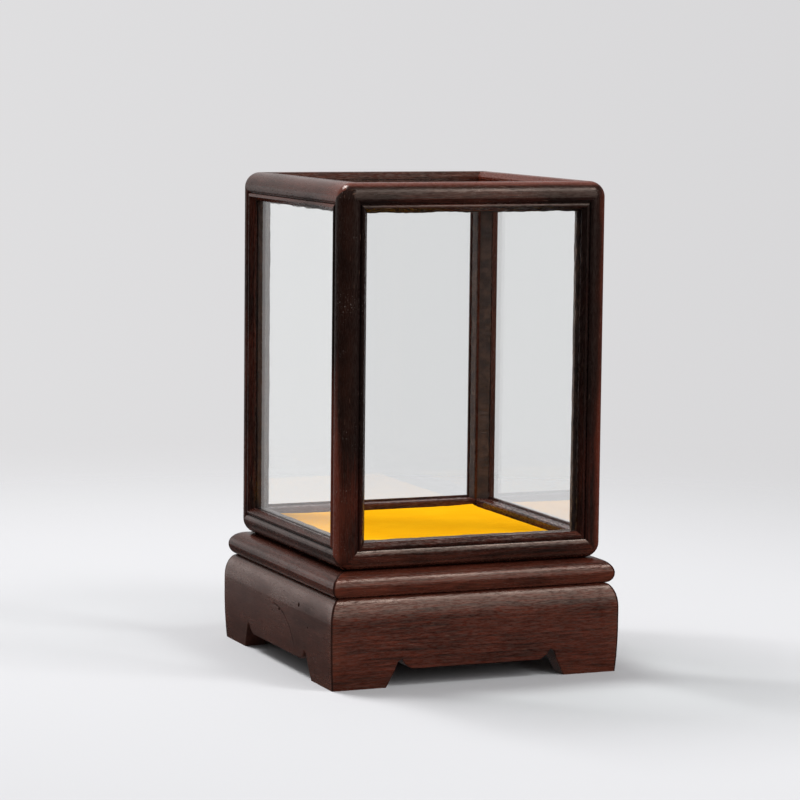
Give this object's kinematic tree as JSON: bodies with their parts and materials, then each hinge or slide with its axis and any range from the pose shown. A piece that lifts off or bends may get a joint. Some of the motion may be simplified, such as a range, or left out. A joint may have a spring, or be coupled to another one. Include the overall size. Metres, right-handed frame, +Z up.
{
  "type": "thimble display case",
  "caption": "Square rosewood display case: a lift-off glass hood with a moulded frame stands on a bullnose plinth with bracket feet, over a yellow cloth pad.",
  "frame": {"origin": "centre of the square footprint, on the surface the feet stand on", "axes": "+Z up; -Y is the front and +X the right; all four sides have the same shape"},
  "size_m": [0.0892, 0.0892, 0.1417],
  "materials": {
    "hood_rosewood": "waxed dark red-brown rosewood, satin, fine straight grain along each member",
    "stand_rosewood": "waxed dark red-brown rosewood, satin, open pores and reddish streaks along each board",
    "hidden_joinery": "plain sawn hardwood, unfinished",
    "glass": "clear float glass, polished, faint grey-green edge",
    "pad_cloth": "amber yellow satin cloth over thin wadding",
    "pad_board": "plain pressed board"
  },
  "bodies": {
    "stand": {"apron_front": "stand_rosewood", "apron_right": "stand_rosewood", "apron_rear": "stand_rosewood", "apron_left": "stand_rosewood", "cornice_rail_front": "stand_rosewood", "cornice_rail_right": "stand_rosewood", "cornice_rail_rear": "stand_rosewood", "cornice_rail_left": "stand_rosewood", "deck_panel": "stand_rosewood", "glue_block_front_left": "hidden_joinery", "glue_block_front_right": "hidden_joinery", "glue_block_rear_right": "hidden_joinery", "glue_block_rear_left": "hidden_joinery", "apron_splines": "hidden_joinery", "cornice_splines": "hidden_joinery"},
    "hood": {"hood_post_front_left": "hood_rosewood", "hood_post_front_right": "hood_rosewood", "hood_post_rear_right": "hood_rosewood", "hood_post_rear_left": "hood_rosewood", "hood_top_rail_front": "hood_rosewood", "hood_top_rail_right": "hood_rosewood", "hood_top_rail_rear": "hood_rosewood", "hood_top_rail_left": "hood_rosewood", "hood_bottom_rail_front": "hood_rosewood", "hood_bottom_rail_right": "hood_rosewood", "hood_bottom_rail_rear": "hood_rosewood", "hood_bottom_rail_left": "hood_rosewood", "hood_corner_tenons": "hidden_joinery", "glass_pane_front": "glass", "glass_pane_right": "glass", "glass_pane_rear": "glass", "glass_pane_left": "glass", "glass_pane_top": "glass"},
    "pad": {"pad_cloth": "pad_cloth", "pad_board": "pad_board"}
  },
  "joints": [
    {"name": "hood_lift", "type": "slide", "parent": "stand", "child": "hood", "axis": [0, 0, 1], "range_m": [0, 0.115]},
    {"name": "pad_lift", "type": "slide", "parent": "stand", "child": "pad", "axis": [0, 0, 1], "range_m": [0, 0.03]}
  ]
}
